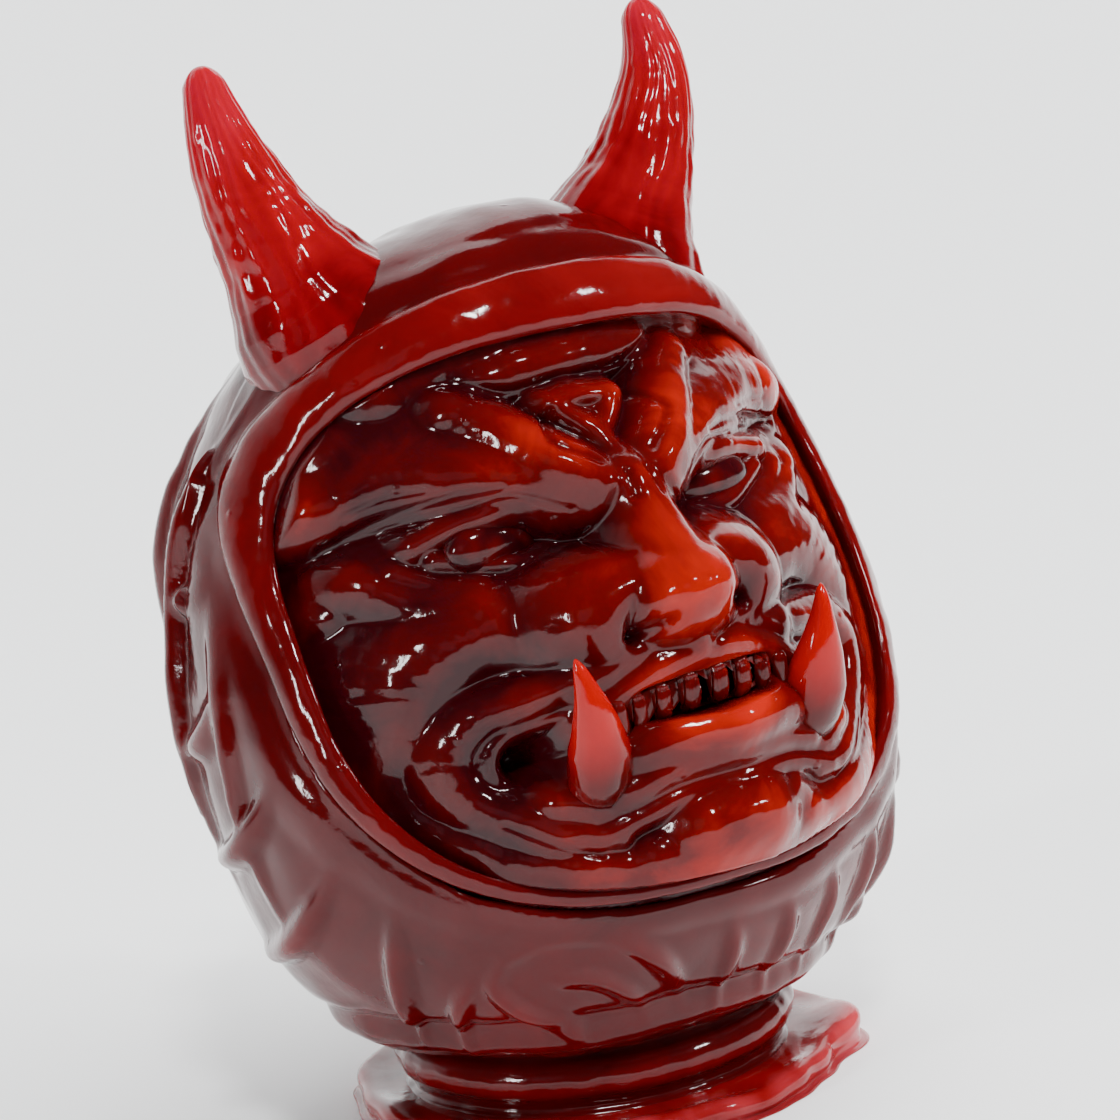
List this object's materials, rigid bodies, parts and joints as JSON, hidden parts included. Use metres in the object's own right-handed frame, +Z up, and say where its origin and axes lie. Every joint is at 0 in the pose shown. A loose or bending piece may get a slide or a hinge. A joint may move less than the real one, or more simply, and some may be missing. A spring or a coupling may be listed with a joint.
{
  "type": "demon daruma figurine",
  "caption": "Small egg-shaped demon figurine: a horned, tusked face in a hood and wrapped robe, cast in glossy dark red resin, standing on a short neck with an irregular flange.",
  "frame": {"origin": "centre of the flat underside", "axes": "+Z up, the face looks along -Y, +X is the figurine's own left"},
  "size_m": [0.0339, 0.0355, 0.0504],
  "materials": {
    "robe_resin": "wet-looking translucent dark maroon resin",
    "face_resin": "wet-looking translucent red resin, orange where thin",
    "horn_resin": "pearly bright red resin, pink at the tips",
    "tusk_resin": "opaque bright red resin",
    "eye_resin": "glossy dark maroon resin",
    "foot_resin": "glossy red resin"
  },
  "bodies": {
    "root": {"robe_body": "robe_resin", "face": "face_resin", "left_horn": "horn_resin", "right_horn": "horn_resin", "left_tusk": "tusk_resin", "right_tusk": "tusk_resin", "upper_teeth": "face_resin", "left_eye": "eye_resin", "right_eye": "eye_resin", "foot_ring": "robe_resin", "pour_flash": "foot_resin"}
  },
  "joints": []
}
